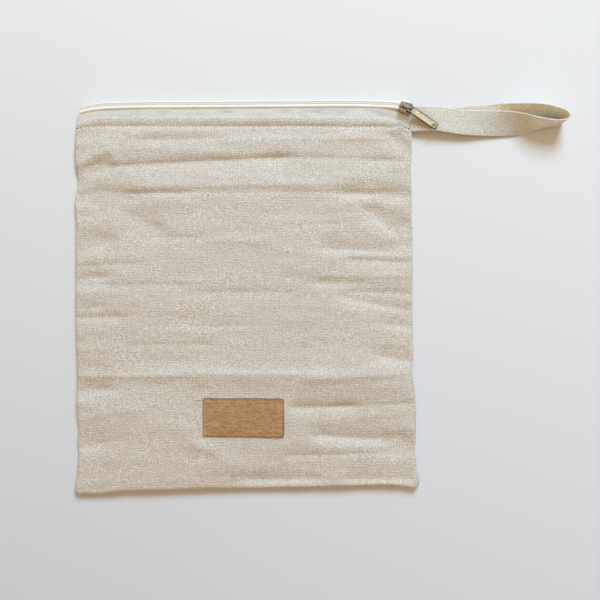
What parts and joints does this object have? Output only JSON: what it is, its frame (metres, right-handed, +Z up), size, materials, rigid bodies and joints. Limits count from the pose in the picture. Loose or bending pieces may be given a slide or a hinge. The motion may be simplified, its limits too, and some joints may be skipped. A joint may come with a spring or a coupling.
{
  "type": "zipped cloth pouch",
  "caption": "Flat zipped cloth pouch for wet nappies, with a bare leather patch, a nickel slider and pull, and a wrist loop at the closed end of its zip.",
  "frame": {"origin": "on the table, under the middle of the pouch", "axes": "+X across the pouch towards the wrist loop, +Y towards the zip, +Z up out of the pouch's front"},
  "size_m": [0.369, 0.2969, 0.0193],
  "materials": {
    "muslin": "unbleached plain weave cotton with slubs",
    "zip_tape": "white herringbone woven polyester",
    "zip_coil": "white nylon monofilament coil",
    "nickel": "warm nickel plate, lightly worn",
    "tan_leather": "vegetable tanned, bare and matt"
  },
  "bodies": {
    "bag": {"front_panel": "muslin", "back_panel": "muslin", "wrist_strap": "muslin", "zip_tape_front": "zip_tape", "zip_tape_back": "zip_tape", "zip_coil_front": "zip_coil", "zip_coil_back": "zip_coil", "zip_slider": "nickel", "leather_patch": "tan_leather"},
    "pull": {"zip_pull": "nickel"}
  },
  "joints": [
    {"name": "pull_flip", "type": "hinge", "parent": "bag", "child": "pull", "pos_m": [0.12339, 0.13848, 0.01025], "axis": [-0.5446, -0.8387, 0], "range_deg": [0, 140]}
  ]
}
